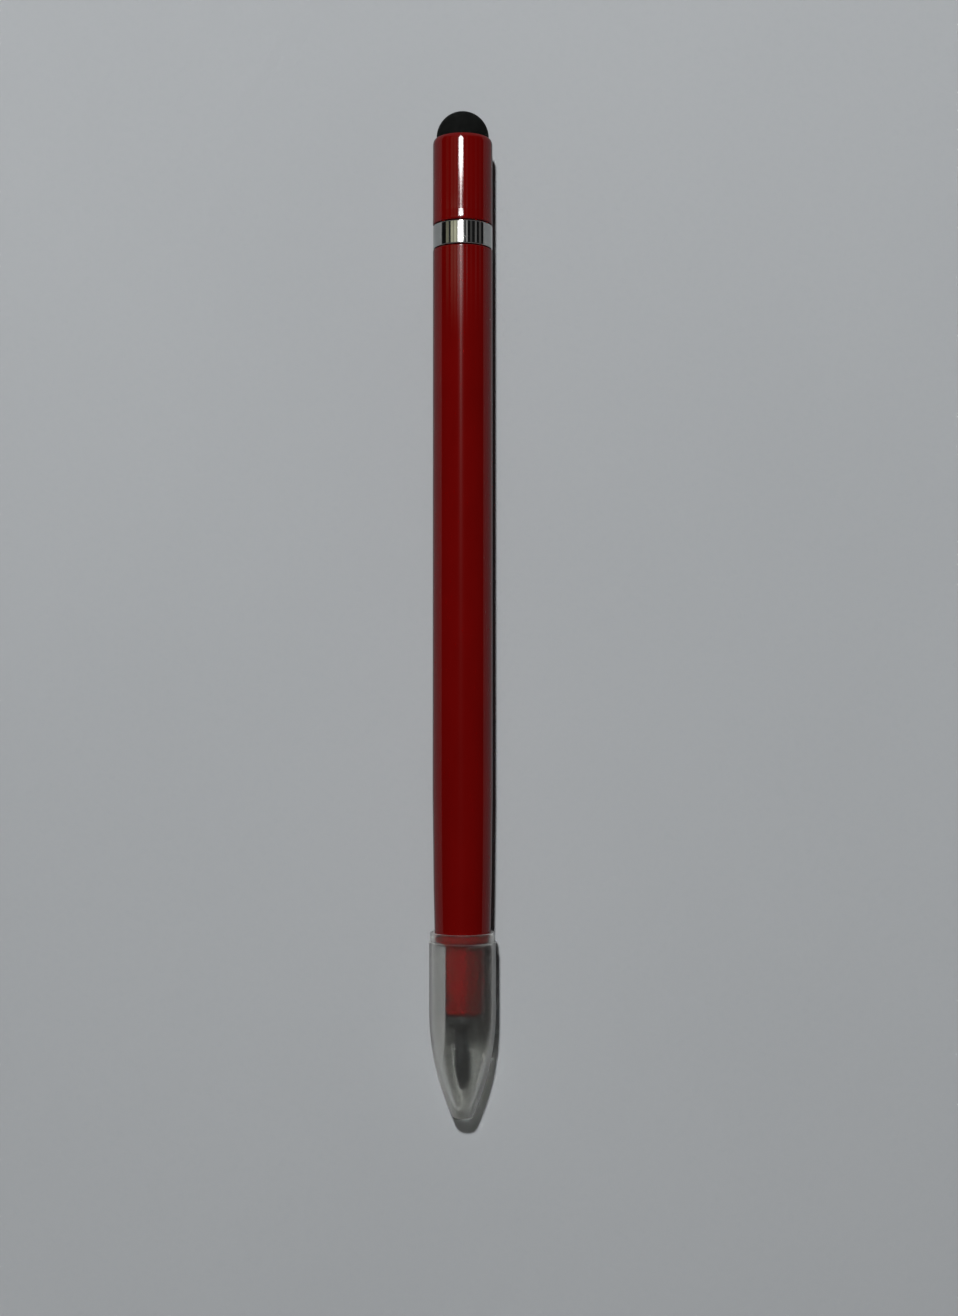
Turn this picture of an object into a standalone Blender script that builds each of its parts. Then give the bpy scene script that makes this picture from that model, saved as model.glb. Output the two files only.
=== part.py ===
"""Inkless pencil with a pull-off cap, a screw-in nib and a screw-on stylus head.

The pencil lies along Y with its capped writing end towards -Y and its stylus end towards +Y.
Lengths along it are stations, measured from the flat end of the cap. Each outline is a list of
(station, radius) points that is turned round the pencil's axis.
"""

import math

import bmesh
import bpy
from mathutils import Vector

MM = 0.001

# Driving dimensions
BARREL_RADIUS = 4.5 * MM
CAP_RADIUS = 5.0 * MM
DOME_RADIUS = 3.96 * MM
NOSE_RADIUS = 3.05 * MM
NIB_RADIUS = 1.17 * MM

# Stations along the pencil
NIB_POINT = 4.3 * MM
NOSE_FRONT = 15.6 * MM
BARREL_FRONT = 26.2 * MM
CAP_LIP = 27.6 * MM
TAPER_END = 41.3 * MM
BARREL_BACK = 130.3 * MM
SLEEVE_FRONT = 134.1 * MM
SLEEVE_MOUTH = 147.1 * MM
DOME_CENTRE = 147.5 * MM
LENGTH = DOME_CENTRE + DOME_RADIUS
MIDDLE = LENGTH / 2

# Clearances and edges
SEAT_GAP = 0.15 * MM
FIT_GAP = 0.2 * MM
PRESS_GAP = 0.3 * MM
EDGE = 0.15 * MM
WELD = 0.001 * MM

# Facets round a turned piece. One facet faces straight down, wide enough for the pencil to rest on it.
ROUND_SEGMENTS = 18
SMALL_SEGMENTS = 16
AXIS_HEIGHT = CAP_RADIUS * math.cos(math.pi / ROUND_SEGMENTS)
SMOOTH_ANGLE = math.radians(32)

# Cap
CAP_WALL = 1.0 * MM
CAP_OGIVE_RADIUS = 38.0 * MM
CAP_OGIVE_START = 16.0 * MM
CAP_OGIVE_STEPS = 9
CAP_LIP_RADIUS = 4.85 * MM
CAP_LIP_BORE = 4.45 * MM
CAP_LIP_STEP = CAP_LIP - 1.4 * MM
CAP_CAVITY_END = 1.3 * MM
CAP_END_ROUND = 0.3 * MM
CAP_END_STEPS = 3
PAD_DISTANCE = NOSE_RADIUS + FIT_GAP
PAD_FIRST_ANGLE = math.radians(43.6)
PAD_COUNT = 3
PAD_BACK = CAP_LIP_STEP - 0.45 * MM

# Nib, its screw and its collar
NIB_TIP_ROUND = 0.45 * MM
NIB_TIP_STEPS = 4
NIB_TAPER_LENGTH = 2.5 * MM
NIB_BACK = 16.6 * MM
COLLAR_LENGTH = 1.3 * MM
COLLAR_RADIUS = 2.95 * MM
COLLAR_BORE = 2.15 * MM
SCREW_HEAD_LENGTH = 0.65 * MM
SCREW_HEAD_RADIUS = 2.3 * MM
SCREW_SHANK_RADIUS = 1.7 * MM
SCREW_THREAD_RADIUS = 2.0 * MM
SCREW_THREAD_PITCH = 0.5 * MM
SCREW_THREAD_LENGTH = 3.0 * MM
SCREW_BACK = 19.3 * MM

# Nose and barrel
NOSE_THREAD_BORE = 2.2 * MM
NOSE_BORE_DEPTH = 6.0 * MM
NOSE_SPIGOT_LENGTH = 10.0 * MM
BARREL_BORE = 3.8 * MM
BARREL_FRONT_RADIUS = 4.16 * MM

# Stylus head
HEAD_THREAD_RADIUS = 2.5 * MM
HEAD_THREAD_PITCH = 0.8 * MM
HEAD_THREAD_LENGTH = 7.2 * MM
HEAD_THREAD_DEPTH = 0.4 * MM
STUD_FRONT = 121.5 * MM
STUD_BACK = 139.4 * MM
BUSH_FRONT = 116.0 * MM
BUSH_BORE = 2.75 * MM
RING_BORE = 2.85 * MM
SLEEVE_BORE = 3.7 * MM
SLEEVE_SEAT = 141.3 * MM
SLEEVE_MOUTH_BORE = 4.1 * MM
SLEEVE_MOUTH_ROUND = 0.9 * MM
SLEEVE_RIM_FLAT = 0.05 * MM
MOUTH_STEPS = 4
CORE_BASE_RADIUS = 3.8 * MM
CORE_BASE_LENGTH = 1.1 * MM
CORE_POST_RADIUS = 2.6 * MM
CORE_POST_BACK = SLEEVE_MOUTH - 1.0 * MM
DOME_WALL = 1.05 * MM
DOME_SKIRT_RADIUS = 3.85 * MM
DOME_STEPS = 7

# Colours as (red, green, blue), metallic, roughness
RED_LACQUER = ((0.13, 0.0025, 0.0018), 0.0, 0.16)
CHROME = ((0.62, 0.63, 0.62), 1.0, 0.06)
RUBBER = ((0.008, 0.0085, 0.008), 0.0, 0.75)
CLEAR_PLASTIC = ((0.52, 0.53, 0.51), 0.0, 0.2)
GRAPHITE = ((0.022, 0.025, 0.026), 0.3, 0.5)
BLACK_PLASTIC = ((0.012, 0.014, 0.014), 0.0, 0.45)
BLACK_METAL = ((0.02, 0.021, 0.022), 0.8, 0.35)
BRASS = ((0.56, 0.41, 0.16), 1.0, 0.3)


def clear_scene():
    for obj in list(bpy.data.objects):
        bpy.data.objects.remove(obj)


def finish(name, look):
    """A Principled material from a colour, a metallic value and a roughness."""
    colour, metallic, roughness = look
    material = bpy.data.materials.new(name)
    material.use_nodes = True
    shader = material.node_tree.nodes["Principled BSDF"]
    shader.inputs["Base Color"].default_value = (*colour, 1.0)
    shader.inputs["Metallic"].default_value = metallic
    shader.inputs["Roughness"].default_value = roughness
    return material


def arc(centre, radius, start, end, steps):
    """Points of a round stretch, as (station, radius), for angles measured from the +Y direction."""
    points = []
    for step in range(steps + 1):
        angle = start + (end - start) * step / steps
        points.append((centre[0] + radius * math.cos(angle), centre[1] + radius * math.sin(angle)))
    return points


def spun(outline, closed, segments):
    """Turns an outline round the axis. A closed one makes a ring, an open one starts and ends on the axis."""
    mesh = bmesh.new()
    first_angle = math.pi / segments
    points = []
    for station, radius in outline:
        place = (radius * math.sin(first_angle), station - MIDDLE, radius * math.cos(first_angle))
        points.append(mesh.verts.new(place))
    followers = points[1:] + points[:1] if closed else points[1:]
    edges = [mesh.edges.new(pair) for pair in zip(points, followers)]
    bmesh.ops.spin(
        mesh,
        geom=points + edges,
        cent=(0, 0, 0),
        axis=(0, 1, 0),
        angle=2 * math.pi,
        steps=segments,
        use_merge=True,
    )
    bmesh.ops.remove_doubles(mesh, verts=mesh.verts, dist=WELD)
    bmesh.ops.recalc_face_normals(mesh, faces=mesh.faces)
    return mesh


def piece(name, mesh, look, parent):
    data = bpy.data.meshes.new(name)
    mesh.to_mesh(data)
    mesh.free()
    data.materials.append(finish(name, look))
    data.shade_smooth()
    data.set_sharp_from_angle(angle=SMOOTH_ANGLE)
    obj = bpy.data.objects.new(name, data)
    obj.parent = parent
    bpy.context.scene.collection.objects.link(obj)
    return obj


def axis_empty(name, parent):
    """An empty on the pencil's axis, which carries one rigid group of pieces."""
    empty = bpy.data.objects.new(name, None)
    if parent is None:
        empty.location = (0, 0, AXIS_HEIGHT)
    empty.parent = parent
    bpy.context.scene.collection.objects.link(empty)
    return empty


def thread_rings(start, length, radius, pitch):
    """Closely spaced outline points for a stretch that gets a thread, four to a turn of it."""
    count = round(4 * length / pitch)
    return [(start + length * ring / count, radius) for ring in range(count + 1)]


def cut_thread(mesh, start, length, crest, root, pitch):
    """Draws a helical thread into a turned stretch, fading out at both of its ends."""
    for vertex in mesh.verts:
        station = vertex.co.y + MIDDLE
        along = (station - start) / length
        radius = math.hypot(vertex.co.x, vertex.co.z)
        if not -WELD < along < 1 + WELD or abs(radius - crest) > EDGE:
            continue
        turn = station / pitch - math.atan2(vertex.co.x, vertex.co.z) / (2 * math.pi)
        height = abs(2 * (turn % 1.0) - 1)
        fade = min(1.0, along * length / pitch, (1 - along) * length / pitch)
        wanted = root + (crest - root) * height * max(0.0, fade)
        vertex.co.x *= wanted / radius
        vertex.co.z *= wanted / radius


def ogive(offset, start, end, steps):
    """Points on the cap's ogive, moved inwards by the offset, from one station to another."""
    centre = CAP_RADIUS - CAP_OGIVE_RADIUS
    radius = CAP_OGIVE_RADIUS - offset
    points = []
    for step in range(steps + 1):
        station = start + (end - start) * step / steps
        points.append((station, centre + math.sqrt(radius**2 - (CAP_OGIVE_START - station) ** 2)))
    return points


def cap_end():
    """The small rounding between the flat end of the cap and its ogive."""
    ogive_centre = CAP_RADIUS - CAP_OGIVE_RADIUS
    reach = CAP_OGIVE_RADIUS - CAP_END_ROUND
    back = CAP_OGIVE_START - CAP_END_ROUND
    centre = (CAP_END_ROUND, ogive_centre + math.sqrt(reach**2 - back**2))
    tangent = math.atan2(centre[1] - ogive_centre, -back)
    return arc(centre, CAP_END_ROUND, math.pi, tangent, CAP_END_STEPS)


def press_pads(mesh):
    """Presses flat pads into the bore of the cap, which grip the nose. Bore vertices face the axis."""
    mesh.normal_update()
    for vertex in mesh.verts:
        faces_axis = vertex.normal.x * vertex.co.x + vertex.normal.z * vertex.co.z < 0
        if not faces_axis or vertex.co.y + MIDDLE > PAD_BACK + WELD:
            continue
        for pad in range(PAD_COUNT):
            angle = PAD_FIRST_ANGLE + 2 * math.pi * pad / PAD_COUNT
            normal = Vector((math.sin(angle), 0, math.cos(angle)))
            beyond = vertex.co.dot(normal) - PAD_DISTANCE
            if beyond > 0:
                vertex.co -= beyond * normal


def make_tip_cap(parent):
    bore = CAP_RADIUS - CAP_WALL
    outside = [(0, 0), *cap_end()]
    outside += ogive(0, outside[-1][0], CAP_OGIVE_START, CAP_OGIVE_STEPS)[1:]
    outside += [
        (CAP_LIP_STEP - EDGE, CAP_RADIUS),
        (CAP_LIP_STEP, CAP_LIP_RADIUS),
        (CAP_LIP - EDGE, CAP_LIP_RADIUS),
        (CAP_LIP, CAP_LIP_RADIUS - EDGE),
    ]
    inside = [
        (CAP_LIP, CAP_LIP_BORE),
        (CAP_LIP_STEP, CAP_LIP_BORE),
        (CAP_LIP_STEP, bore),
        (PAD_BACK, bore),
    ]
    inside += ogive(CAP_WALL, CAP_OGIVE_START, CAP_CAVITY_END, CAP_OGIVE_STEPS)
    inside += [(CAP_CAVITY_END, 0)]
    mesh = spun(outside + inside, False, ROUND_SEGMENTS)
    press_pads(mesh)
    piece("tip_cap", mesh, CLEAR_PLASTIC, parent)


def make_nib(parent):
    tip_centre = (NIB_POINT + NIB_TIP_ROUND, 0)
    cone_angle = math.atan2(NIB_RADIUS - NIB_TIP_ROUND, NIB_TAPER_LENGTH)
    outline = arc(tip_centre, NIB_TIP_ROUND, math.pi, math.pi / 2 + cone_angle, NIB_TIP_STEPS)
    outline += [
        (NIB_POINT + NIB_TAPER_LENGTH, NIB_RADIUS),
        (NIB_BACK, NIB_RADIUS),
        (NIB_BACK, 0),
    ]
    piece("nib", spun(outline, False, SMALL_SEGMENTS), GRAPHITE, parent)


def make_nib_screw(parent):
    collar_front = NOSE_FRONT - SEAT_GAP - COLLAR_LENGTH
    head_back = collar_front - SEAT_GAP
    head_front = head_back - SCREW_HEAD_LENGTH
    bore = NIB_RADIUS + FIT_GAP
    bore_bottom = NIB_BACK + FIT_GAP
    thread_start = SCREW_BACK - EDGE - SCREW_THREAD_LENGTH
    outline = [
        (bore_bottom, 0),
        (bore_bottom, bore),
        (head_front, bore),
        (head_front, SCREW_HEAD_RADIUS - EDGE),
        (head_front + EDGE, SCREW_HEAD_RADIUS),
        (head_back, SCREW_HEAD_RADIUS),
        (head_back, SCREW_SHANK_RADIUS),
        (thread_start - EDGE, SCREW_SHANK_RADIUS),
    ]
    outline += thread_rings(thread_start, SCREW_THREAD_LENGTH, SCREW_THREAD_RADIUS, SCREW_THREAD_PITCH)
    outline += [(SCREW_BACK, SCREW_SHANK_RADIUS - EDGE), (SCREW_BACK, 0)]
    mesh = spun(outline, False, SMALL_SEGMENTS)
    cut_thread(
        mesh, thread_start, SCREW_THREAD_LENGTH, SCREW_THREAD_RADIUS, SCREW_SHANK_RADIUS, SCREW_THREAD_PITCH
    )
    piece("nib_screw", mesh, BLACK_METAL, parent)


def make_nib_collar(parent):
    back = NOSE_FRONT - SEAT_GAP
    front = back - COLLAR_LENGTH
    outline = [
        (front, COLLAR_BORE),
        (front, COLLAR_RADIUS - 2 * EDGE),
        (front + 2 * EDGE, COLLAR_RADIUS),
        (back, COLLAR_RADIUS),
        (back, COLLAR_BORE),
    ]
    piece("nib_collar", spun(outline, True, ROUND_SEGMENTS), BLACK_PLASTIC, parent)


def make_front_nose(parent):
    spigot = BARREL_BORE - PRESS_GAP
    shoulder = BARREL_FRONT - EDGE
    back = BARREL_FRONT + NOSE_SPIGOT_LENGTH
    outline = [
        (NOSE_FRONT + NOSE_BORE_DEPTH, 0),
        (NOSE_FRONT + NOSE_BORE_DEPTH, NOSE_THREAD_BORE),
        (NOSE_FRONT, NOSE_THREAD_BORE),
        (NOSE_FRONT, NOSE_RADIUS - EDGE),
        (NOSE_FRONT + EDGE, NOSE_RADIUS),
        (shoulder, NOSE_RADIUS),
        (shoulder, spigot),
        (back - 2 * EDGE, spigot),
        (back, spigot - 2 * EDGE),
        (back, 0),
    ]
    piece("front_nose", spun(outline, False, ROUND_SEGMENTS), RED_LACQUER, parent)


def make_barrel_tube(parent):
    outline = [
        (BARREL_FRONT, BARREL_BORE),
        (BARREL_FRONT, BARREL_FRONT_RADIUS - EDGE),
        (BARREL_FRONT + EDGE, BARREL_FRONT_RADIUS),
        (TAPER_END, BARREL_RADIUS),
        (BARREL_BACK - EDGE, BARREL_RADIUS),
        (BARREL_BACK, BARREL_RADIUS - EDGE),
        (BARREL_BACK, BARREL_BORE),
    ]
    piece("barrel_tube", spun(outline, True, ROUND_SEGMENTS), RED_LACQUER, parent)


def make_rear_bush(parent):
    back = BARREL_BACK - SEAT_GAP
    outer = BARREL_BORE - PRESS_GAP
    outline = [
        (BUSH_FRONT, BUSH_BORE),
        (BUSH_FRONT, outer - 2 * EDGE),
        (BUSH_FRONT + 2 * EDGE, outer),
        (back, outer),
        (back, BUSH_BORE),
    ]
    piece("rear_bush", spun(outline, True, ROUND_SEGMENTS), BRASS, parent)


def make_trim_ring(parent):
    front = BARREL_BACK + SEAT_GAP
    back = SLEEVE_FRONT - SEAT_GAP
    outline = [
        (front, RING_BORE),
        (front, BARREL_RADIUS - EDGE),
        (front + EDGE, BARREL_RADIUS),
        (back - EDGE, BARREL_RADIUS),
        (back, BARREL_RADIUS - EDGE),
        (back, RING_BORE),
    ]
    piece("trim_ring", spun(outline, True, ROUND_SEGMENTS), CHROME, parent)


def make_head_stud(parent):
    root = HEAD_THREAD_RADIUS - HEAD_THREAD_DEPTH
    plug = SLEEVE_BORE - PRESS_GAP
    plug_front = SLEEVE_FRONT + SEAT_GAP
    thread_start = STUD_FRONT + EDGE
    thread_end = thread_start + HEAD_THREAD_LENGTH
    outline = [(STUD_FRONT, 0), (STUD_FRONT, root - EDGE)]
    outline += thread_rings(thread_start, HEAD_THREAD_LENGTH, HEAD_THREAD_RADIUS, HEAD_THREAD_PITCH)
    outline += [
        (thread_end + EDGE, root),
        (plug_front, root),
        (plug_front, plug),
        (STUD_BACK - EDGE, plug),
        (STUD_BACK, plug - EDGE),
        (STUD_BACK, 0),
    ]
    mesh = spun(outline, False, SMALL_SEGMENTS)
    cut_thread(mesh, thread_start, HEAD_THREAD_LENGTH, HEAD_THREAD_RADIUS, root, HEAD_THREAD_PITCH)
    piece("head_stud", mesh, BRASS, parent)


def make_rear_sleeve(parent):
    lip = BARREL_RADIUS - SLEEVE_MOUTH_BORE - SLEEVE_RIM_FLAT
    outline = [
        (SLEEVE_FRONT, SLEEVE_BORE),
        (SLEEVE_FRONT, BARREL_RADIUS - EDGE),
        (SLEEVE_FRONT + EDGE, BARREL_RADIUS),
    ]
    for step in range(MOUTH_STEPS + 1):
        angle = math.pi / 2 * step / MOUTH_STEPS
        station = SLEEVE_MOUTH - SLEEVE_MOUTH_ROUND * (1 - math.sin(angle))
        outline.append((station, BARREL_RADIUS - lip * (1 - math.cos(angle))))
    outline += [
        (SLEEVE_MOUTH, SLEEVE_MOUTH_BORE),
        (SLEEVE_SEAT, SLEEVE_MOUTH_BORE),
        (SLEEVE_SEAT, SLEEVE_BORE),
    ]
    piece("rear_sleeve", spun(outline, True, ROUND_SEGMENTS), RED_LACQUER, parent)


def make_stylus_core(parent):
    base_front = SLEEVE_SEAT + SEAT_GAP
    base_back = base_front + CORE_BASE_LENGTH
    outline = [
        (base_front, 0),
        (base_front, CORE_BASE_RADIUS),
        (base_back, CORE_BASE_RADIUS),
        (base_back, CORE_POST_RADIUS),
        (CORE_POST_BACK - 3 * EDGE, CORE_POST_RADIUS),
        (CORE_POST_BACK, CORE_POST_RADIUS - 3 * EDGE),
        (CORE_POST_BACK, 0),
    ]
    piece("stylus_core", spun(outline, False, ROUND_SEGMENTS), BLACK_PLASTIC, parent)


def make_stylus_dome(parent):
    skirt_front = SLEEVE_SEAT + SEAT_GAP + CORE_BASE_LENGTH + SEAT_GAP
    hollow = DOME_RADIUS - DOME_WALL
    centre = (DOME_CENTRE, 0)
    outline = arc(centre, hollow, 0, math.pi / 2, DOME_STEPS)
    outline += [
        (skirt_front, hollow),
        (skirt_front, DOME_SKIRT_RADIUS),
        (SLEEVE_MOUTH - SLEEVE_MOUTH_ROUND, DOME_SKIRT_RADIUS),
    ]
    outline += arc(centre, DOME_RADIUS, math.pi / 2, 0, DOME_STEPS)
    piece("stylus_dome", spun(outline, False, ROUND_SEGMENTS), RUBBER, parent)


def make_pencil():
    pencil = axis_empty("pencil_axis", None)
    cap_slide = axis_empty("cap_slide_axis", pencil)
    collar_slide = axis_empty("collar_slide_axis", pencil)
    nib_turn = axis_empty("nib_turn_axis", collar_slide)
    ring_slide = axis_empty("ring_slide_axis", pencil)
    head_turn = axis_empty("head_turn_axis", ring_slide)
    make_barrel_tube(pencil)
    make_front_nose(pencil)
    make_rear_bush(pencil)
    make_tip_cap(cap_slide)
    make_nib_collar(collar_slide)
    make_nib_screw(nib_turn)
    make_nib(nib_turn)
    make_trim_ring(ring_slide)
    make_head_stud(head_turn)
    make_rear_sleeve(head_turn)
    make_stylus_core(head_turn)
    make_stylus_dome(head_turn)


clear_scene()
make_pencil()
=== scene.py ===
"""Looks of the inkless pencil: a lacquered tube with a clear cap, a chrome ring and a stylus dome.

A turned piece starts as a wire in the half plane above the pencil's axis. Its points are
(0, place along the pencil, distance from the axis), and it is spun round that axis.
"""

import math

import bmesh
import bpy
from mathutils import Matrix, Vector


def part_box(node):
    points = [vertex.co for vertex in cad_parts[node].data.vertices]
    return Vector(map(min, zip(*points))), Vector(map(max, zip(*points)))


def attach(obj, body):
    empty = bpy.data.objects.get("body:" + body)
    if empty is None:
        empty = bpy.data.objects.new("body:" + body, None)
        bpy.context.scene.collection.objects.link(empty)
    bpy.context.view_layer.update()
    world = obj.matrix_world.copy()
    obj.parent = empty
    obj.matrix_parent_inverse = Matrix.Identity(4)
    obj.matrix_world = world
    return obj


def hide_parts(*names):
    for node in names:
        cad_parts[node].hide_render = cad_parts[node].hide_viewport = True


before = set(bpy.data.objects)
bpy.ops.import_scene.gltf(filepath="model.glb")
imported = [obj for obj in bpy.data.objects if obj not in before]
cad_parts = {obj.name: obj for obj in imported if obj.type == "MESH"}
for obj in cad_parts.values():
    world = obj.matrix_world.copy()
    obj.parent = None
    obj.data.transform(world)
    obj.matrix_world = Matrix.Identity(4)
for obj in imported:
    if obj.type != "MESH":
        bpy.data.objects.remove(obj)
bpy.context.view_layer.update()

MM = 0.001

# Driving dimensions of what shows
BARREL_RADIUS = 4.5 * MM
BARREL_FRONT_RADIUS = 4.16 * MM
BARREL_BORE = 3.8 * MM
TAPER_LENGTH = 15.1 * MM
TAPER_BLEND = 7.0 * MM
SLEEVE_BORE = 3.7 * MM
SLEEVE_SEAT_LENGTH = 7.2 * MM
SLEEVE_MOUTH_BORE = 4.1 * MM
MOUTH_LENGTH = 0.9 * MM
MOUTH_DROP = 0.35 * MM
BEAD_HEIGHT = 0.022 * MM
BEAD_LENGTH = 1.3 * MM
DOME_RADIUS = 3.96 * MM
DOME_WALL = 1.05 * MM
DOME_SKIRT_RADIUS = 3.85 * MM
RING_BORE = 2.85 * MM
EDGE = 0.15 * MM

# Cap
CAP_RADIUS = 5.0 * MM
CAP_WALL = 1.0 * MM
CAP_OGIVE_RADIUS = 38.0 * MM
CAP_OGIVE_LENGTH = 16.0 * MM
CAP_END_ROUND = 0.3 * MM
CAP_END_WALL = 1.3 * MM
CAVITY_END_ROUND = 0.7 * MM
CAP_LIP_RADIUS = 4.85 * MM
CAP_LIP_BORE = 4.45 * MM
CAP_LIP_LENGTH = 1.4 * MM
CAP_SEAT_GAP = 0.1 * MM
PAD_DISTANCE = 3.17 * MM
PAD_HALF_WIDTH = 2.5 * MM
PAD_LENGTH = 20.0 * MM
PAD_LIP_GAP = 0.45 * MM
PAD_DEPTH = 2.0 * MM
PAD_CORNER = 0.8 * MM
PAD_FIRST_ANGLE = math.radians(45.5)
PAD_COUNT = 3

# Nose, nib, its collar and its screw
NOSE_RADIUS = 3.05 * MM
NOSE_THREAD_BORE = 2.2 * MM
NOSE_BORE_DEPTH = 6.0 * MM
NOSE_SHOWN_LENGTH = 10.45 * MM
NOSE_SPIGOT_RADIUS = 3.5 * MM
NIB_RADIUS = 1.17 * MM
NIB_TIP_ROUND = 0.45 * MM
NIB_TAPER_LENGTH = 2.5 * MM
NIB_TAPER_BLEND = 0.8 * MM
COLLAR_RADIUS = 2.95 * MM
COLLAR_BORE = 2.15 * MM
SCREW_HEAD_RADIUS = 2.3 * MM
SCREW_HEAD_LENGTH = 0.65 * MM
SCREW_BORE = 1.37 * MM
SCREW_BORE_DEPTH = 3.45 * MM
SCREW_SHANK_RADIUS = 1.7 * MM
SCREW_CREST = 2.0 * MM
SCREW_PITCH = 0.5 * MM
SCREW_THREAD_LENGTH = 3.0 * MM

# Stylus head's inner pieces
BUSH_RADIUS = 3.5 * MM
BUSH_BORE = 2.75 * MM
STUD_ROOT = 2.1 * MM
STUD_CREST = 2.5 * MM
STUD_PITCH = 0.8 * MM
STUD_THREAD_LENGTH = 7.2 * MM
STUD_PLUG_RADIUS = 3.4 * MM
STUD_PLUG_LENGTH = 5.15 * MM
CORE_BASE_RADIUS = 3.8 * MM
CORE_BASE_LENGTH = 1.1 * MM
CORE_POST_RADIUS = 2.6 * MM

# Shares of light that pass the cap's plastic where it is seen face on and at a slant, between two slants,
# the share that its tip scatters besides, and the smoke inside it
CLEAR_FACE_ON = 0.992
CLEAR_SLANT = 0.8
CLEAR_SLANTS = (0.4, 0.6)
TIP_MILK = 0.022
SMOKE_COLOUR = (0.06, 0.05, 0.0, 1)
SMOKE_DENSITY = 130.0

# Share of the lamp's rays that pass the cap, and the slants between which it falls to none,
# each round the nose, beside the nib and at the tip
LAMP_SHARE = (0.52, 0.85, 0.2)
SLANT_START = (0.12, 0.22, 0.12)
SLANT_END = (0.4, 0.6, 0.4)
ZONE_FADE = 2.0 * MM

# Ridge of a thread: how far its foot sinks into the core, and half of its foot and of its crest in pitches
RIDGE_SINK = 0.1 * MM
RIDGE_HALF_FOOT = 0.46
RIDGE_HALF_CREST = 0.06

# Values between which most of a noise lies
NOISE_LOW = 0.3
NOISE_HIGH = 0.7

# Mesh density
TURN_STEPS = 160
ARC_STEPS = 24
CORNER_SEGMENTS = 6
THREAD_STEPS = 48
WELD = 0.0005 * MM
SHARP_ANGLE = math.radians(25)

# The axis lies at the middle of the barrel.
barrel_low, barrel_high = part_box("barrel_tube")
AXIS_HEIGHT = (barrel_low.z + barrel_high.z) / 2


def span(node):
    """Where a node starts and ends along the pencil."""
    low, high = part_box(node)
    return low.y, high.y


class Wire:
    """An outline drawn point by point, with round corners, that is then turned round the axis."""

    def __init__(self, along, radius):
        self.mesh = bmesh.new()
        self.tip = bmesh.ops.create_vert(self.mesh, co=(0, along, radius))["vert"][0]
        self.corners = []

    def line(self, along, radius, rounding=0.0):
        """A straight run to a point, whose corner can be rounded."""
        self.tip = bmesh.ops.extrude_vert_indiv(self.mesh, verts=[self.tip])["verts"][0]
        self.tip.co = (0, along, radius)
        if rounding:
            self.corners.append((self.tip, rounding))

    def arc(self, along, radius, turn, stretch=1.0):
        """A round stretch about a centre. Stretched along the pencil, it is part of an ellipse."""
        older = set(self.mesh.verts)
        swept = bmesh.ops.spin(
            self.mesh,
            geom=[self.tip],
            cent=(0, along, radius),
            axis=(1, 0, 0),
            angle=turn,
            steps=ARC_STEPS,
        )
        self.tip = [end for end in swept["geom_last"] if isinstance(end, bmesh.types.BMVert)][0]
        bmesh.ops.scale(
            self.mesh,
            verts=[point for point in self.mesh.verts if point not in older],
            vec=(1, stretch, 1),
            space=Matrix.Translation((0, -along, -radius)),
        )

    def turned(self):
        """The solid that the outline sweeps round the axis."""
        for corner, rounding in self.corners:
            bmesh.ops.bevel(
                self.mesh,
                geom=[corner],
                offset=rounding,
                affect="VERTICES",
                segments=CORNER_SEGMENTS,
                profile=0.5,
                material=-1,
            )
        bmesh.ops.spin(
            self.mesh,
            geom=self.mesh.verts[:] + self.mesh.edges[:],
            cent=(0, 0, 0),
            axis=(0, 1, 0),
            angle=2 * math.pi,
            steps=TURN_STEPS,
            use_merge=True,
        )
        return closed(self.mesh)


def closed(mesh):
    """Merges seams and poles and turns the faces outwards."""
    bmesh.ops.remove_doubles(mesh, verts=mesh.verts, dist=WELD)
    bmesh.ops.recalc_face_normals(mesh, faces=mesh.faces)
    return mesh


def loose_object(name, mesh):
    data = bpy.data.meshes.new(name)
    mesh.to_mesh(data)
    mesh.free()
    made = bpy.data.objects.new(name, data)
    bpy.context.scene.collection.objects.link(made)
    return made


def combined(solid, tool, operation):
    """The union or difference of two solids."""
    solid_object = loose_object("solid", solid)
    tool_object = loose_object("tool", tool)
    boolean = solid_object.modifiers.new("combine", "BOOLEAN")
    boolean.object = tool_object
    boolean.operation = operation
    boolean.solver = "EXACT"
    result = bmesh.new()
    result.from_object(solid_object, bpy.context.evaluated_depsgraph_get())
    for used in (solid_object, tool_object):
        bpy.data.objects.remove(used)
    return result


def put(name, mesh, material, body, node):
    """Lifts a solid to the pencil's axis and makes it the piece that stands for a node."""
    bmesh.ops.translate(mesh, verts=mesh.verts, vec=(0, 0, AXIS_HEIGHT))
    piece = loose_object(name, mesh)
    piece.data.materials.append(material)
    piece.data.shade_smooth()
    piece.data.set_sharp_from_angle(angle=SHARP_ANGLE)
    even = piece.modifiers.new("even_shading", "WEIGHTED_NORMAL")
    even.keep_sharp = True
    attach(piece, body)
    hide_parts(node)


def add(tree, kind, inputs=None, **settings):
    """Adds a node. Each input gets a plain value, or a link from another node's output."""
    node = tree.nodes.new(kind)
    for name, value in settings.items():
        setattr(node, name, value)
    for socket, value in (inputs or {}).items():
        if isinstance(value, bpy.types.NodeSocket):
            tree.links.new(value, node.inputs[socket])
        else:
            node.inputs[socket].default_value = value
    return node


def grain(tree, scale, detail):
    """Noise from 0 to 1 with so many patterns to the metre along X, Y and Z."""
    place = add(tree, "ShaderNodeTexCoord")
    mapping = add(tree, "ShaderNodeMapping", {"Vector": place.outputs["Object"], "Scale": scale})
    noise = add(
        tree, "ShaderNodeTexNoise", {"Vector": mapping.outputs["Vector"], "Scale": 1.0, "Detail": detail}
    )
    return noise.outputs["Fac"]


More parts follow.
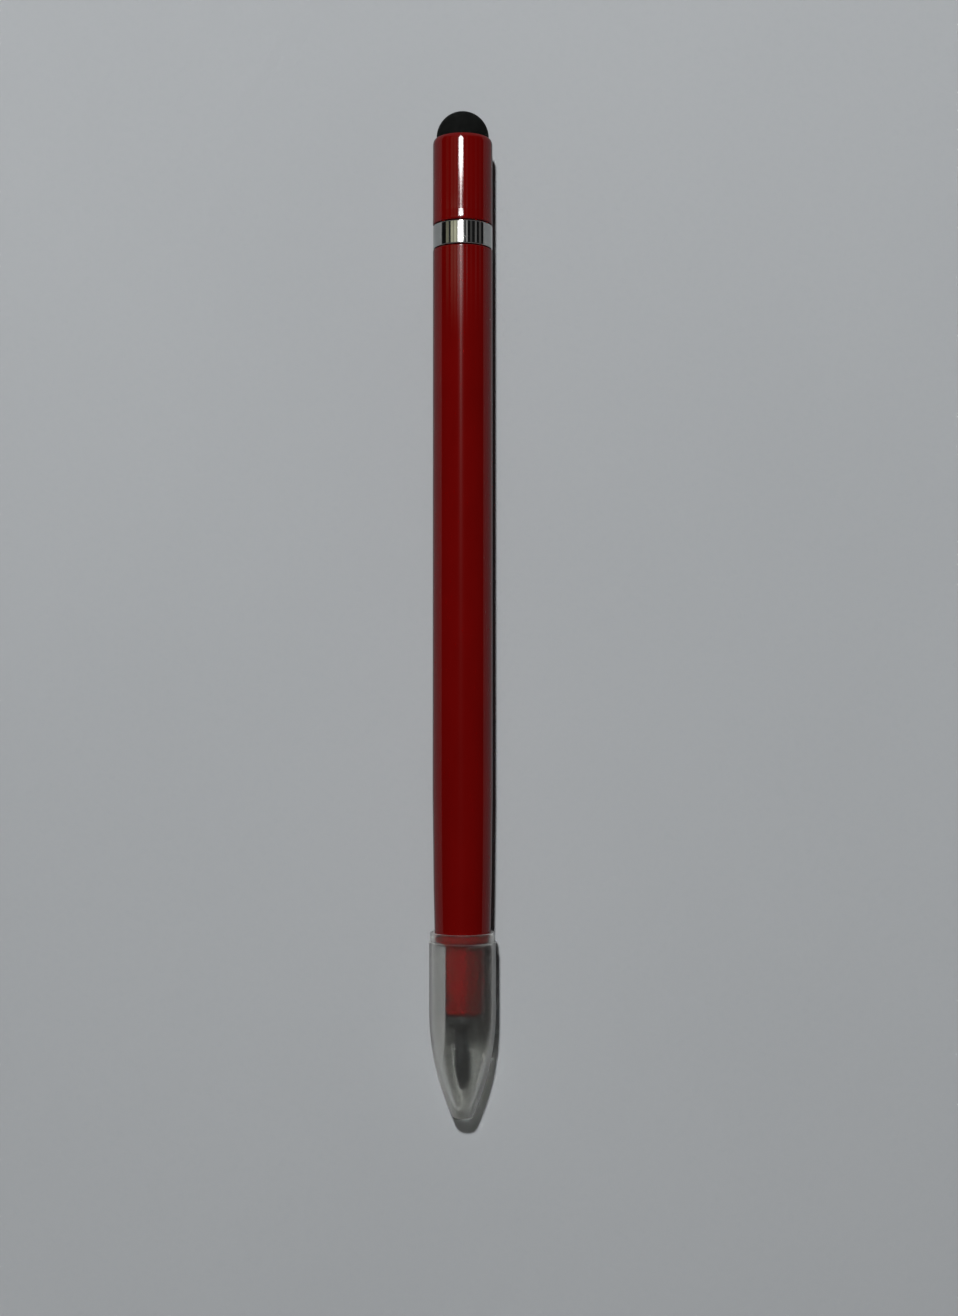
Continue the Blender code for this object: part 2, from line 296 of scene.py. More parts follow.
def between(tree, source, low, high, start=NOISE_LOW, end=NOISE_HIGH):
    """Goes evenly from low to high while the source, mostly a noise, goes from start to end."""
    spread = add(
        tree,
        "ShaderNodeMapRange",
        {"Value": source, "From Min": start, "From Max": end, "To Min": low, "To Max": high},
    )
    return spread.outputs["Result"]


def along_pencil(tree):
    """The place along the pencil, in metres."""
    place = add(tree, "ShaderNodeTexCoord").outputs["Object"]
    return add(tree, "ShaderNodeSeparateXYZ", {"Vector": place}).outputs["Y"]


def mottled(tree, source, dark, light):
    """A colour that a noise shifts between a darker and a lighter one."""
    ramp = add(tree, "ShaderNodeValToRGB", {"Fac": source})
    ramp.color_ramp.elements[0].position = NOISE_LOW
    ramp.color_ramp.elements[0].color = (*dark, 1)
    ramp.color_ramp.elements[1].position = NOISE_HIGH
    ramp.color_ramp.elements[1].color = (*light, 1)
    return ramp.outputs["Color"]


def bumped(tree, source, depth, below=None):
    """Surface normals raised by a noise, on top of other bumps."""
    bump = add(tree, "ShaderNodeBump", {"Height": source, "Distance": depth, "Strength": 1.0})
    if below:
        tree.links.new(below, bump.inputs["Normal"])
    return bump.outputs["Normal"]


def finish(name, values, links):
    """A Principled material. The links are made by a function that gets the node tree."""
    material = bpy.data.materials.new(name)
    material.use_nodes = True
    tree = material.node_tree
    shader = tree.nodes["Principled BSDF"]
    for socket, value in values.items():
        shader.inputs[socket].default_value = value
    for socket, source in links(tree).items():
        tree.links.new(source, shader.inputs[socket])
    return material


def mix_surface(tree, share, other):
    """Gives the Principled surface a share of another shader."""
    surface = tree.nodes["Principled BSDF"].outputs["BSDF"]
    mix = add(tree, "ShaderNodeMixShader", {0: share, 1: surface, 2: other})
    tree.links.new(mix.outputs["Shader"], tree.nodes["Material Output"].inputs["Surface"])


def red_lacquer():
    """Deep red under a clear gloss, with a trace of orange peel and handling haze."""

    def variation(tree):
        peel = bumped(tree, grain(tree, (900, 700, 900), 1.0), 0.0006 * MM)
        haze = grain(tree, (260, 90, 260), 4.0)
        return {
            "Base Color": mottled(tree, haze, (0.106, 0.0009, 0.0006), (0.121, 0.0012, 0.0009)),
            "Roughness": between(tree, haze, 0.3, 0.42),
            "Normal": peel,
            "Coat Normal": peel,
        }

    values = {"Specular IOR Level": 0.0, "Coat Weight": 0.5, "Coat Roughness": 0.055, "Coat IOR": 1.5}
    return finish("red_lacquer", values, variation)


def polished_chrome():
    """Mirror chrome with fine polishing lines round the ring and a little handling haze."""

    def variation(tree):
        lines = grain(tree, (60, 22000, 60), 2.0)
        haze = grain(tree, (500, 500, 500), 3.0)
        return {
            "Base Color": mottled(tree, haze, (0.345, 0.349, 0.340), (0.385, 0.389, 0.380)),
            "Roughness": between(tree, haze, 0.04, 0.1),
            "Normal": bumped(tree, lines, 0.0001 * MM),
        }

    return finish("polished_chrome", {"Metallic": 1.0}, variation)


def black_rubber():
    """Matt conductive rubber with a fine grain and soft pale mottling."""

    def variation(tree):
        cloud = grain(tree, (700, 700, 700), 4.0)
        fine = grain(tree, (6500, 6500, 6500), 2.0)
        soft = bumped(tree, cloud, 0.012 * MM)
        return {
            "Base Color": mottled(tree, cloud, (0.0032, 0.0035, 0.0033), (0.0060, 0.0064, 0.0060)),
            "Roughness": between(tree, fine, 0.68, 0.88),
            "Normal": bumped(tree, fine, 0.006 * MM, soft),
        }

    return finish("black_rubber", {"Specular IOR Level": 0.02}, variation)


def clear_plastic():
    """Translucent polypropylene, which looks milkier the more plastic the eye looks through."""

    def variation(tree):
        haze = grain(tree, (240, 120, 240), 3.0)
        ripple = grain(tree, (420, 160, 420), 1.0)
        slant = add(tree, "ShaderNodeLayerWeight", {"Blend": 0.5})
        clear = between(tree, slant.outputs["Facing"], CLEAR_FACE_ON, CLEAR_SLANT, *CLEAR_SLANTS)
        nib_front = span("nib")[0]
        milk = between(tree, along_pencil(tree), 0.0, TIP_MILK, nib_front + ZONE_FADE, nib_front - ZONE_FADE)
        return {
            "Roughness": between(tree, haze, 0.288, 0.306),
            "Transmission Weight": calculated(tree, "SUBTRACT", clear, milk),
            "Normal": bumped(tree, ripple, 0.002 * MM),
        }

    values = {"Base Color": (0.98, 0.98, 0.96, 1), "IOR": 1.18, "Specular Tint": (0.5, 0.5, 0.5, 1)}
    material = finish("clear_plastic", values, variation)
    tree = material.node_tree
    depth = add(tree, "ShaderNodeVolumeAbsorption", {"Color": SMOKE_COLOUR, "Density": SMOKE_DENSITY})
    tree.links.new(depth.outputs["Volume"], tree.nodes["Material Output"].inputs["Volume"])
    let_lamp_through(material)
    return material


def let_lamp_through(material):
    """Lets some of the lamp's rays reach what is inside the cap, none where they graze its surface."""
    tree = material.node_tree
    place = along_pencil(tree)
    nose_front = span("front_nose")[0]
    nib_front = span("nib")[0]
    nib_zone = (nose_front + ZONE_FADE / 2, nose_front - ZONE_FADE)
    tip_zone = (nib_front + ZONE_FADE, nib_front - ZONE_FADE / 2)

    def by_zone(round_nose, beside_nib, at_tip):
        near = between(tree, place, round_nose, beside_nib, *nib_zone)
        return between(tree, place, near, at_tip, *tip_zone)

    slant = add(tree, "ShaderNodeLayerWeight", {"Blend": 0.5}).outputs["Facing"]
    share = between(tree, slant, by_zone(*LAMP_SHARE), 0.0, by_zone(*SLANT_START), by_zone(*SLANT_END))
    passing = add(tree, "ShaderNodeBsdfTransparent", {"Color": share})
    path = add(tree, "ShaderNodeLightPath")
    mix_surface(tree, path.outputs["Is Shadow Ray"], passing.outputs["BSDF"])


def graphite():
    """Grey-black writing rod with fine drawn streaks and a low sheen."""

    def variation(tree):
        streaks = grain(tree, (5200, 260, 5200), 3.0)
        return {
            "Base Color": mottled(tree, streaks, (0.006, 0.0072, 0.0076), (0.014, 0.0158, 0.0162)),
            "Roughness": between(tree, streaks, 0.38, 0.55),
            "Normal": bumped(tree, streaks, 0.003 * MM),
        }

    return finish("graphite", {"Metallic": 0.2, "Specular IOR Level": 0.2}, variation)


def black_plastic():
    """Moulded black plastic with a fine spark-eroded grain."""

    def variation(tree):
        fine = grain(tree, (5200, 5200, 5200), 3.0)
        return {
            "Base Color": mottled(tree, fine, (0.009, 0.0105, 0.0105), (0.016, 0.018, 0.018)),
            "Roughness": between(tree, fine, 0.4, 0.56),
            "Normal": bumped(tree, fine, 0.004 * MM),
        }

    return finish("black_plastic", {"Specular IOR Level": 0.4}, variation)


def black_metal():
    """Blackened brass with turning lines and lighter rubbed patches."""

    def variation(tree):
        lines = grain(tree, (40, 16000, 40), 2.0)
        rubbed = grain(tree, (900, 900, 900), 4.0)
        return {
            "Base Color": mottled(tree, rubbed, (0.016, 0.017, 0.018), (0.045, 0.044, 0.042)),
            "Roughness": between(tree, rubbed, 0.28, 0.45),
            "Normal": bumped(tree, lines, 0.002 * MM),
        }

    return finish("black_metal", {"Metallic": 0.85}, variation)


def turned_brass():
    """Brass with the fine lines that a lathe leaves round it."""

    def variation(tree):
        lines = grain(tree, (40, 12000, 40), 3.0)
        tarnish = grain(tree, (420, 420, 420), 4.0)
        return {
            "Base Color": mottled(tree, tarnish, (0.50, 0.36, 0.13), (0.60, 0.45, 0.19)),
            "Roughness": between(tree, lines, 0.2, 0.36),
            "Normal": bumped(tree, lines, 0.003 * MM),
        }

    return finish("turned_brass", {"Metallic": 1.0}, variation)


def pale_paper():
    """Smooth pale paper with a trace of fibre, which passes into the backdrop away from the pencil."""

    def variation(tree):
        fibre = grain(tree, (2600, 1800, 2600), 4.0)
        cloud = grain(tree, (9, 7, 9), 2.0)
        return {
            "Base Color": mottled(tree, cloud, (0.352, 0.368, 0.382), (0.372, 0.388, 0.402)),
            "Normal": bumped(tree, fibre, 0.006 * MM),
        }

    material = finish("pale_paper", {"Roughness": 0.85, "Specular IOR Level": 0.25}, variation)
    tree = material.node_tree
    place = add(tree, "ShaderNodeTexCoord").outputs["Object"]
    away = add(tree, "ShaderNodeVectorMath", {0: place}, operation="LENGTH").outputs["Value"]
    glow = add(tree, "ShaderNodeEmission", {"Color": BACKDROP})
    mix_surface(tree, rise(tree, away, *FLOOR_FADE), glow.outputs["Emission"])
    return material


def thread(start, length, crest, root, pitch):
    """A right-handed ridge, wound round the axis, whose foot sinks a little into the core."""
    foot = root - RIDGE_SINK
    half_foot = RIDGE_HALF_FOOT * pitch
    half_crest = RIDGE_HALF_CREST * pitch
    ridge = bmesh.new()
    point = bmesh.ops.create_vert(ridge, co=(0, start - half_foot, foot))["vert"][0]
    profile = [point]
    outline = ((start - half_crest, crest), (start + half_crest, crest), (start + half_foot, foot))
    for along, radius in outline:
        point = bmesh.ops.extrude_vert_indiv(ridge, verts=[point])["verts"][0]
        point.co = (0, along, radius)
        profile.append(point)
    bmesh.ops.contextual_create(ridge, geom=profile)
    turns = length / pitch
    steps = round(THREAD_STEPS * turns)
    bmesh.ops.spin(
        ridge,
        geom=ridge.verts[:] + ridge.edges[:] + ridge.faces[:],
        cent=(0, 0, 0),
        axis=(0, 1, 0),
        dvec=(0, length / steps, 0),
        angle=2 * math.pi * turns,
        steps=steps,
    )
    return closed(ridge)


def make_barrel(lacquer):
    front, back = span("barrel_tube")
    middle = (front + back) / 2
    wire = Wire(middle, BARREL_BORE)
    wire.line(front, BARREL_BORE, EDGE)
    wire.line(front, BARREL_FRONT_RADIUS, EDGE)
    wire.line(front + TAPER_LENGTH, BARREL_RADIUS, TAPER_BLEND)
    wire.line(back, BARREL_RADIUS, EDGE)
    wire.line(back, BARREL_BORE, EDGE)
    wire.line(middle, BARREL_BORE)
    put("red_barrel", wire.turned(), lacquer, "barrel_unit", "barrel_tube")


def make_nose(lacquer):
    front, back = span("front_nose")
    shoulder = front + NOSE_SHOWN_LENGTH
    wire = Wire(front + NOSE_BORE_DEPTH, 0)
    wire.line(front + NOSE_BORE_DEPTH, NOSE_THREAD_BORE)
    wire.line(front, NOSE_THREAD_BORE, EDGE)
    wire.line(front, NOSE_RADIUS, 2 * EDGE)
    wire.line(shoulder, NOSE_RADIUS, EDGE)
    wire.line(shoulder, NOSE_SPIGOT_RADIUS, EDGE)
    wire.line(back, NOSE_SPIGOT_RADIUS, 2 * EDGE)
    wire.line(back, 0)
    put("red_nose", wire.turned(), lacquer, "barrel_unit", "front_nose")


def make_sleeve(lacquer):
    """Holds the dome. The lacquer stands in a faint bead at its front edge, and its mouth is rounded."""
    front, back = span("rear_sleeve")
    seat = front + SLEEVE_SEAT_LENGTH
    rounding_start = back - MOUTH_LENGTH
    wire = Wire((front + seat) / 2, SLEEVE_BORE)
    wire.line(front, SLEEVE_BORE, EDGE)
    wire.line(front, BARREL_RADIUS, EDGE)
    wire.line(front + 2 * EDGE, BARREL_RADIUS + BEAD_HEIGHT, EDGE)
    wire.line(front + BEAD_LENGTH, BARREL_RADIUS, 2 * EDGE)
    wire.line(rounding_start, BARREL_RADIUS)
    wire.arc(rounding_start, BARREL_RADIUS - MOUTH_DROP, -math.pi / 2, MOUTH_LENGTH / MOUTH_DROP)
    wire.line(back, SLEEVE_MOUTH_BORE)
    wire.line(seat, SLEEVE_MOUTH_BORE)
    wire.line(seat, SLEEVE_BORE)
    wire.line((front + seat) / 2, SLEEVE_BORE)
    put("red_sleeve", wire.turned(), lacquer, "stylus_head", "rear_sleeve")


def make_ring(chrome):
    front, back = span("trim_ring")
    middle = (front + back) / 2
    wire = Wire(middle, RING_BORE)
    wire.line(front, RING_BORE, EDGE)
    wire.line(front, BARREL_RADIUS, EDGE)
    wire.line(back, BARREL_RADIUS, EDGE)
    wire.line(back, RING_BORE, EDGE)
    wire.line(middle, RING_BORE)
    put("chrome_ring", wire.turned(), chrome, "ring", "trim_ring")


def make_dome(rubber):
    """A hollow half ball with a skirt that sits inside the sleeve's mouth."""
    front, back = span("stylus_dome")
    centre = back - DOME_RADIUS
    hollow = DOME_RADIUS - DOME_WALL
    wire = Wire(centre + hollow, 0)
    wire.arc(centre, 0, math.pi / 2)
    wire.line(front, hollow, EDGE)
    wire.line(front, DOME_SKIRT_RADIUS, EDGE)
    wire.line(centre - MOUTH_LENGTH, DOME_SKIRT_RADIUS)
    wire.line(centre, DOME_RADIUS)
    wire.arc(centre, 0, -math.pi / 2)
    put("stylus_tip", wire.turned(), rubber, "stylus_head", "stylus_dome")


def cap_outside():
    front, back = span("tip_cap")
    ogive_end = front + CAP_OGIVE_LENGTH
    ogive_centre = CAP_RADIUS - CAP_OGIVE_RADIUS
    lean = math.asin(CAP_OGIVE_LENGTH / CAP_OGIVE_RADIUS)
    lip_step = back - CAP_LIP_LENGTH
    wire = Wire(front, 0)
    wire.line(front, ogive_centre + CAP_OGIVE_RADIUS * math.cos(lean), CAP_END_ROUND)
    wire.arc(ogive_end, ogive_centre, -lean)
    wire.line(lip_step, CAP_RADIUS, EDGE)
    wire.line(lip_step, CAP_LIP_RADIUS, EDGE / 2)
    wire.line(back, CAP_LIP_RADIUS, EDGE)
    wire.line(back, 0)
    return wire.turned()


def cap_cavity():
    """The space inside the cap, which narrows over three flat pads that grip the nose."""
    front, back = span("tip_cap")
    ogive_end = front + CAP_OGIVE_LENGTH
    ogive_centre = CAP_RADIUS - CAP_OGIVE_RADIUS
    reach = CAP_OGIVE_RADIUS - CAP_WALL
    lean = math.asin((CAP_OGIVE_LENGTH - CAP_END_WALL) / reach)
    lip_step = back - CAP_LIP_LENGTH
    wire = Wire(front + CAP_END_WALL, 0)
    wire.line(front + CAP_END_WALL, ogive_centre + reach * math.cos(lean), CAVITY_END_ROUND)
    wire.arc(ogive_end, ogive_centre, -lean)
    wire.line(lip_step - CAP_SEAT_GAP, CAP_RADIUS - CAP_WALL)
    wire.line(lip_step - CAP_SEAT_GAP, CAP_LIP_BORE)
    wire.line(back + CAP_WALL, CAP_LIP_BORE)
    wire.line(back + CAP_WALL, 0)
    cavity = wire.turned()
    for number in range(PAD_COUNT):
        angle = PAD_FIRST_ANGLE + 2 * math.pi * number / PAD_COUNT
        cavity = combined(cavity, grip_pad(lip_step - PAD_LIP_GAP, angle), "DIFFERENCE")
    return cavity


def grip_pad(back, angle):
    """A block whose inner face is the pad, with round corners at its back end."""
    pad = bmesh.new()
    bmesh.ops.create_cube(pad, size=1)
    bmesh.ops.scale(pad, verts=pad.verts, vec=(2 * PAD_HALF_WIDTH, PAD_LENGTH, PAD_DEPTH))
    corners = []
    for edge in pad.edges:
        first, second = edge.verts
        if first.co.y > 0 and second.co.y > 0 and first.co.x * second.co.x > 0:
            corners.append(edge)
    bmesh.ops.bevel(
        pad,
        geom=corners,
        offset=PAD_CORNER,
        affect="EDGES",
        segments=CORNER_SEGMENTS,
        profile=0.5,
        material=-1,
    )
    place = (0, back - PAD_LENGTH / 2, PAD_DISTANCE + PAD_DEPTH / 2)
    bmesh.ops.translate(pad, verts=pad.verts, vec=place)
    bmesh.ops.rotate(pad, verts=pad.verts, cent=(0, 0, 0), matrix=Matrix.Rotation(angle, 3, "Y"))
    return pad


def make_cap(plastic):
    shell = combined(cap_outside(), cap_cavity(), "DIFFERENCE")
    put("clear_cap", shell, plastic, "cap", "tip_cap")


def make_nib(lead):
    front, back = span("nib")
    cone = math.atan2(NIB_RADIUS - NIB_TIP_ROUND, NIB_TAPER_LENGTH)
    wire = Wire(front, 0)
    wire.arc(front + NIB_TIP_ROUND, 0, cone - math.pi / 2)
    wire.line(front + NIB_TAPER_LENGTH, NIB_RADIUS, NIB_TAPER_BLEND)
    wire.line(back, NIB_RADIUS, EDGE)
    wire.line(back, 0)
    put("nib_rod", wire.turned(), lead, "nib_unit", "nib")


def make_collar(plastic):
    front, back = span("nib_collar")
    middle = (front + back) / 2
    wire = Wire(middle, COLLAR_BORE)
    wire.line(front, COLLAR_BORE, EDGE)
    wire.line(front, COLLAR_RADIUS, 2 * EDGE)
    wire.line(back, COLLAR_RADIUS, EDGE)
    wire.line(back, COLLAR_BORE, EDGE)
    wire.line(middle, COLLAR_BORE)
    put("collar_ring", wire.turned(), plastic, "collar", "nib_collar")


def make_nib_screw(metal):
    front, back = span("nib_screw")
    head_back = front + SCREW_HEAD_LENGTH
    wire = Wire(front + SCREW_BORE_DEPTH, 0)
    wire.line(front + SCREW_BORE_DEPTH, SCREW_BORE)
    wire.line(front, SCREW_BORE, EDGE)
    wire.line(front, SCREW_HEAD_RADIUS, EDGE)
    wire.line(head_back, SCREW_HEAD_RADIUS, EDGE)
    wire.line(head_back, SCREW_SHANK_RADIUS, EDGE / 2)
    wire.line(back, SCREW_SHANK_RADIUS, EDGE)
    wire.line(back, 0)
    start = back - SCREW_THREAD_LENGTH
    length = SCREW_THREAD_LENGTH - SCREW_PITCH
    ridge = thread(start, length, SCREW_CREST, SCREW_SHANK_RADIUS, SCREW_PITCH)
    screw = combined(wire.turned(), ridge, "UNION")
    put("nib_holder", screw, metal, "nib_unit", "nib_screw")


def make_bush(brass):
    front, back = span("rear_bush")
    middle = (front + back) / 2
    wire = Wire(middle, BUSH_BORE)
    wire.line(front, BUSH_BORE, EDGE)
    wire.line(front, BUSH_RADIUS, 2 * EDGE)
    wire.line(back, BUSH_RADIUS, EDGE)
    wire.line(back, BUSH_BORE, EDGE)
    wire.line(middle, BUSH_BORE)
    put("barrel_bush", wire.turned(), brass, "barrel_unit", "rear_bush")


def make_stud(brass):
    front, back = span("head_stud")
    plug_front = back - STUD_PLUG_LENGTH
    wire = Wire(front, 0)
    wire.line(front, STUD_ROOT, 2 * EDGE)
    wire.line(plug_front, STUD_ROOT, EDGE)
    wire.line(plug_front, STUD_PLUG_RADIUS, EDGE)
    wire.line(back, STUD_PLUG_RADIUS, EDGE)
    wire.line(back, 0)
    start = front + STUD_PITCH
    length = STUD_THREAD_LENGTH - STUD_PITCH
    ridge = thread(start, length, STUD_CREST, STUD_ROOT, STUD_PITCH)
    stud = combined(wire.turned(), ridge, "UNION")
    put("threaded_stud", stud, brass, "stylus_head", "head_stud")


def make_core(plastic):
    front, back = span("stylus_core")
    wire = Wire(front, 0)
    wire.line(front, CORE_BASE_RADIUS, EDGE)
    wire.line(front + CORE_BASE_LENGTH, CORE_BASE_RADIUS, EDGE)
    wire.line(front + CORE_BASE_LENGTH, CORE_POST_RADIUS, EDGE)
    wire.line(back, CORE_POST_RADIUS, 3 * EDGE)
    wire.line(back, 0)
    put("dome_post", wire.turned(), plastic, "stylus_head", "stylus_core")


def make_pencil():
    lacquer = red_lacquer()
    plastic = black_plastic()
    brass = turned_brass()
    make_barrel(lacquer)
    make_nose(lacquer)
    make_sleeve(lacquer)
    make_ring(polished_chrome())
    make_dome(black_rubber())
    make_cap(clear_plastic())
    make_nib(graphite())
    make_collar(plastic)
    make_nib_screw(black_metal())
    make_bush(brass)
    make_stud(brass)
    make_core(plastic)


FLOOR_SIZE = 6.0
FLOOR_FADE = (0.22, 0.6)


def make_floor():
    """A sheet that touches the cap and the sleeve from below, so it leans by a fraction of a degree."""
    cap_back = span("tip_cap")[1] - CAP_LIP_LENGTH
    sleeve_back = span("rear_sleeve")[1] - MOUTH_LENGTH
    lean = math.atan((CAP_RADIUS - BARREL_RADIUS) / (sleeve_back - cap_back))
    mesh = bmesh.new()
    bmesh.ops.create_grid(mesh, x_segments=1, y_segments=1, size=FLOOR_SIZE / 2)
    bmesh.ops.rotate(mesh, verts=mesh.verts, cent=(0, 0, 0), matrix=Matrix.Rotation(lean, 3, "X"))
    height = AXIS_HEIGHT - CAP_RADIUS - cap_back * math.tan(lean)
    bmesh.ops.translate(mesh, verts=mesh.verts, vec=(0, 0, height))
    floor = loose_object("paper_floor", mesh)
    floor.data.materials.append(pale_paper())


LAMP_PLACE = (-0.13, 0.55, 1.1)
LAMP_SIZE = 0.078
LAMP_POWER = 17.7


def make_lamp():
    """One lamp above the stylus end, a little to the left."""
    data = bpy.data.lights.new("lamp", "AREA")
    data.shape = "DISK"
    data.size = LAMP_SIZE
    data.energy = LAMP_POWER
    lamp = bpy.data.objects.new("lamp", data)
    lamp.location = LAMP_PLACE
    lamp.visible_camera = False
    bpy.context.scene.collection.objects.link(lamp)


# The room that gloss mirrors. A direction has a side, in degrees to the right of straight up, and a reach,
# which is the share of it that points along the pencil beyond the stylus end.
ROOM_SIDES = 99
PANEL_REACH = (0.20, 0.24)
PANEL_FADE_REACH = (0.26, 0.272)
PANEL_FADE = 0.65
FIELD_TAPER = (0.33, 0.62)
FIELD_SIDE_EDGE = 0.02
FIELD_NEAR_EDGE = 0.003
FIELD_FAR_EDGE = 0.01
# Painted reflections near the lamp's direction: a soft box and a strip below it, shown only in gloss, with
# no lamp behind them
SOFT_BOX_SIDES = (-15.5, 3.0)
SOFT_BOX_REACH = (0.2815, 0.58)
SOFT_BOX_BRIGHTNESS = 50.0
STRIP_SIDES = (-8.3, -4.2)
STRIP_REACH = (0.2575, 0.2815)
STRIP_BRIGHTNESS = 16.0
# Painted highlight: a halo round the lamp's direction that only gloss mirrors
HALO_SIDE = -6.25
HALO_REACH = 0.361
HALO_NARROWING = 1.7
HALO_STRENGTH = 0.0016
HALO_MOST = 60.0
WALL_REACH = (0.55, 0.7)
LOW_BAND = (0.03, 0.05)
BACKDROP_BAND = (0.35, 0.45)
BACKDROP = (0.36, 0.365, 0.37, 1)
DIM = (0.026, 0.026, 0.026, 1)

# Panels of the room, each from its side up to the next one's, with its brightness
PLAIN = (1.0, 1.0, 1.0)
WARM = (1.0, 1.0, 0.74)
PANELS = (
    (-87, 0.01, PLAIN),
    (-68, 0.34, WARM),
    (-55, 0.04, PLAIN),
    (-47, 0.85, WARM),
    (-38, 0.54, WARM),
    (-33, 1.07, WARM),
    (-25, 0.6, WARM),
    (-20, 2.9, PLAIN),
    (2, 0.5, PLAIN),
    (6, 0.03, PLAIN),
    (13, 0.5, PLAIN),
    (19, 0.01, PLAIN),
    (29, 0.11, PLAIN),
    (37, 0.015, PLAIN),
    (48, 0.21, PLAIN),
    (56, 0.01, PLAIN),
    (66, 0.14, PLAIN),
    (76, 0.008, PLAIN),
    (92, 0.3, PLAIN),
)


def calculated(tree, operation, *values):
    """The result of a sum, product or other operation."""
    return add(tree, "ShaderNodeMath", dict(enumerate(values)), operation=operation).outputs["Value"]


def rise(tree, source, start, end):
    """Goes smoothly from 0 at the start to 1 at the end."""
    step = add(
        tree,
        "ShaderNodeMapRange",
        {"Value": source, "From Min": start, "From Max": end},
        interpolation_type="SMOOTHSTEP",
    )
    return step.outputs["Result"]


def blend(tree, share, first, second, kind="MIX"):
    """Two colours mixed, or added up."""
    mix = add(tree, "ShaderNodeMix", {0: share, 6: first, 7: second}, data_type="RGBA", blend_type=kind)
    return mix.outputs[2]


def panels(tree, side, reach):
    """Upright panels beyond the stylus end, which the chrome ring mirrors as stripes."""
    limit = math.radians(ROOM_SIDES)
    place = add(tree, "ShaderNodeMapRange", {"Value": side, "From Min": -limit, "From Max": limit})
    ramp = add(tree, "ShaderNodeValToRGB", {"Fac": place.outputs["Result"]})
    ramp.color_ramp.interpolation = "CONSTANT"
    steps = ramp.color_ramp.elements
    for number, (degrees, brightness, tint) in enumerate(PANELS):
        position = (degrees / ROOM_SIDES + 1) / 2
        step = steps.new(position) if number > 1 else steps[number]
        step.position = position
        step.color = (*(brightness * part for part in tint), 1)
    fade = calculated(tree, "MULTIPLY", rise(tree, reach, *PANEL_FADE_REACH), PANEL_FADE)
    faded = blend(tree, fade, ramp.outputs["Color"], DIM)
    return blend(tree, rise(tree, reach, *PANEL_REACH), DIM, faded)


def lit_field(tree, side, reach, sides, reaches, brightness):
    """A bright field with soft edges between two sides and two reaches, narrower the farther it reaches."""
    left, right = (math.radians(degrees) for degrees in sides)
    near, far = reaches
    offset = calculated(tree, "ABSOLUTE", calculated(tree, "SUBTRACT", side, (left + right) / 2))
    width = between(tree, reach, (right - left) / 2, 0.0, *FIELD_TAPER)
    shape = rise(tree, calculated(tree, "SUBTRACT", offset, width), 0.0, -FIELD_SIDE_EDGE)
    begin = rise(tree, reach, near - FIELD_NEAR_EDGE, near + FIELD_NEAR_EDGE)
    end = rise(tree, reach, far + FIELD_FAR_EDGE, far - FIELD_FAR_EDGE)
    shape = calculated(tree, "MULTIPLY", shape, calculated(tree, "MULTIPLY", begin, end))
    return calculated(tree, "MULTIPLY", shape, brightness)


def painted_lamp_reflection(tree, side, reach):
    """Painted reflection of a bright soft box near the lamp's direction and the narrow strip below it, which
    only glossy reflections show.
    """
    box = lit_field(tree, side, reach, SOFT_BOX_SIDES, SOFT_BOX_REACH, SOFT_BOX_BRIGHTNESS)
    strip = lit_field(tree, side, reach, STRIP_SIDES, STRIP_REACH, STRIP_BRIGHTNESS)
    return calculated(tree, "ADD", box, strip)


def painted_halo_highlight(tree, side, reach):
    """Painted highlight: a glow round the lamp's direction, drawn out along the pencil, which only glossy
    reflections show; it stands in for the lacquer's haze.
    """
    sideways = calculated(tree, "SUBTRACT", side, math.radians(HALO_SIDE))
    sideways = calculated(tree, "POWER", calculated(tree, "ABSOLUTE", sideways), 2)
    sideways = calculated(tree, "MULTIPLY", sideways, HALO_NARROWING**2)
    beyond = calculated(tree, "ABSOLUTE", calculated(tree, "SUBTRACT", reach, HALO_REACH))
    away = calculated(tree, "ADD", sideways, calculated(tree, "POWER", beyond, 2))
    glow = calculated(tree, "DIVIDE", HALO_STRENGTH, calculated(tree, "POWER", away, 2))
    return calculated(tree, "MINIMUM", glow, HALO_MOST)


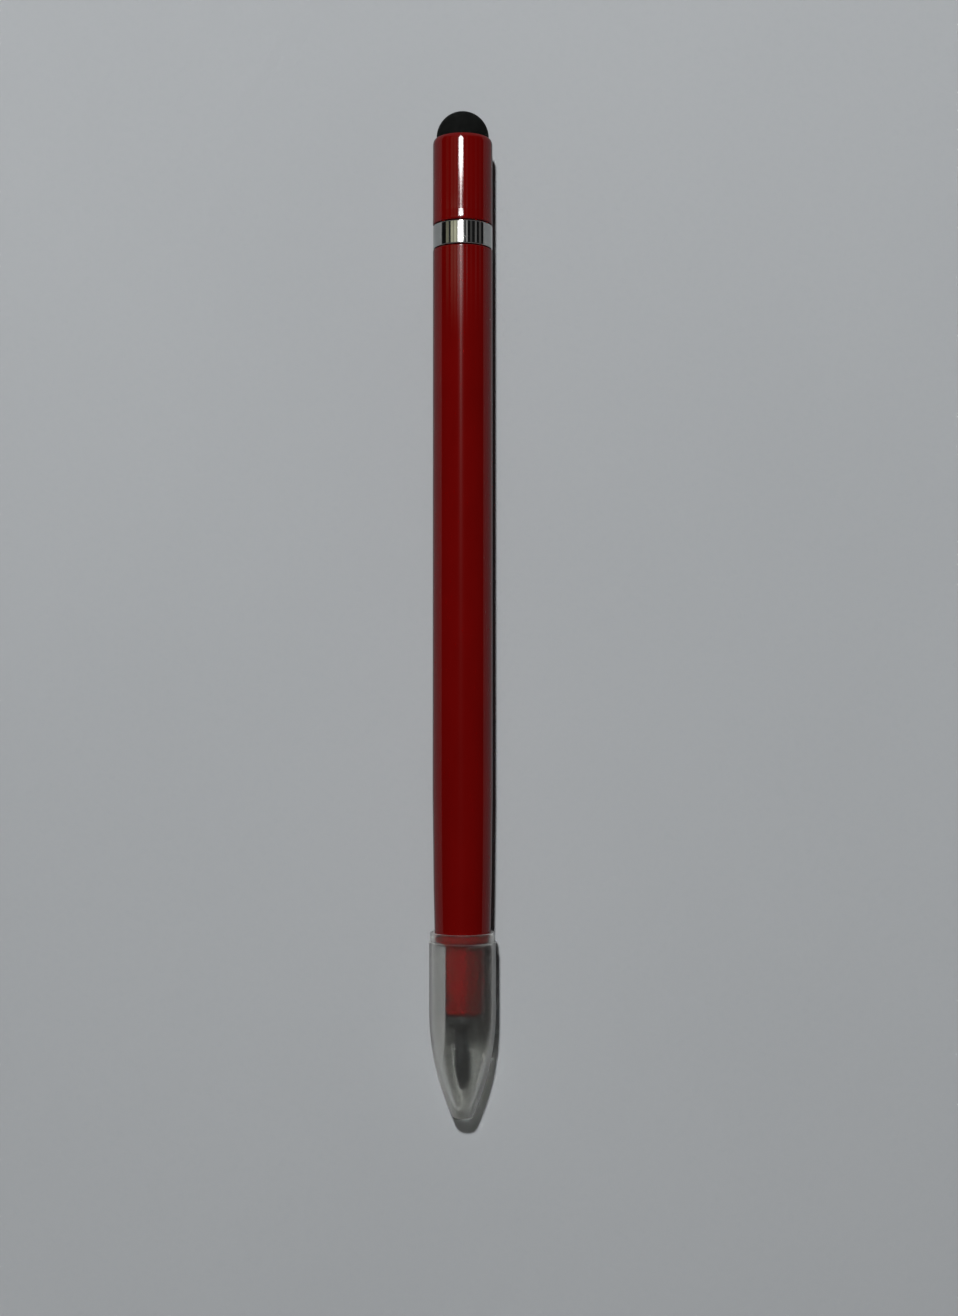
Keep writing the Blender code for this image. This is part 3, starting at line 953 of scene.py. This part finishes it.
def make_surroundings():
    """A dim room, what gloss mirrors of it with painted reflections and a painted halo round the lamp, and a
    pale backdrop that camera, metal and glass see.
    """
    world = bpy.data.worlds.new("studio")
    world.use_nodes = True
    bpy.context.scene.world = world
    tree = world.node_tree
    direction = add(tree, "ShaderNodeTexCoord").outputs["Generated"]
    parts = add(tree, "ShaderNodeSeparateXYZ", {"Vector": direction}).outputs
    side = calculated(tree, "ARCTAN2", parts["X"], parts["Z"])
    # The painted reflections and painted highlight of the lamp, added to what gloss mirrors
    lights = calculated(tree, "ADD", painted_lamp_reflection(tree, side, parts["Y"]), painted_halo_highlight(tree, side, parts["Y"]))
    mirrored = blend(tree, 1.0, panels(tree, side, parts["Y"]), lights, "ADD")
    walls = rise(tree, calculated(tree, "ABSOLUTE", parts["Y"]), *WALL_REACH)
    mirrored = blend(tree, walls, mirrored, BACKDROP)
    ray = add(tree, "ShaderNodeLightPath").outputs
    mirror = calculated(tree, "MULTIPLY", ray["Is Glossy Ray"], ray["Is Reflection Ray"])
    room = blend(tree, mirror, DIM, mirrored)
    straight = calculated(tree, "MAXIMUM", ray["Is Camera Ray"], ray["Is Transmission Ray"])
    tall = calculated(tree, "MULTIPLY", straight, rise(tree, parts["Z"], *reversed(BACKDROP_BAND)))
    low = rise(tree, parts["Z"], *reversed(LOW_BAND))
    shown = blend(tree, calculated(tree, "MAXIMUM", tall, low), room, BACKDROP)
    tree.links.new(shown, tree.nodes["Background"].inputs["Color"])


# Camera, with its height above the pencil's axis
CAMERA_LENS = 50
CAMERA_SENSOR = 36
CAMERA_ACROSS = 2.47 * MM
CAMERA_ALONG = -14.05 * MM
CAMERA_HEIGHT = 275 * MM
CAMERA_TILT = math.radians(1.46)


def make_camera():
    """Looks down on the pencil, tilted slightly towards the stylus end."""
    data = bpy.data.cameras.new("camera")
    data.lens = CAMERA_LENS
    data.sensor_width = CAMERA_SENSOR
    camera = bpy.data.objects.new("camera", data)
    camera.location = (CAMERA_ACROSS, CAMERA_ALONG, AXIS_HEIGHT + CAMERA_HEIGHT)
    camera.rotation_euler = (CAMERA_TILT, 0, 0)
    bpy.context.scene.collection.objects.link(camera)
    bpy.context.scene.camera = camera


make_pencil()
make_floor()
make_lamp()
make_surroundings()
make_camera()
bpy.context.scene.view_settings.view_transform = "Standard"
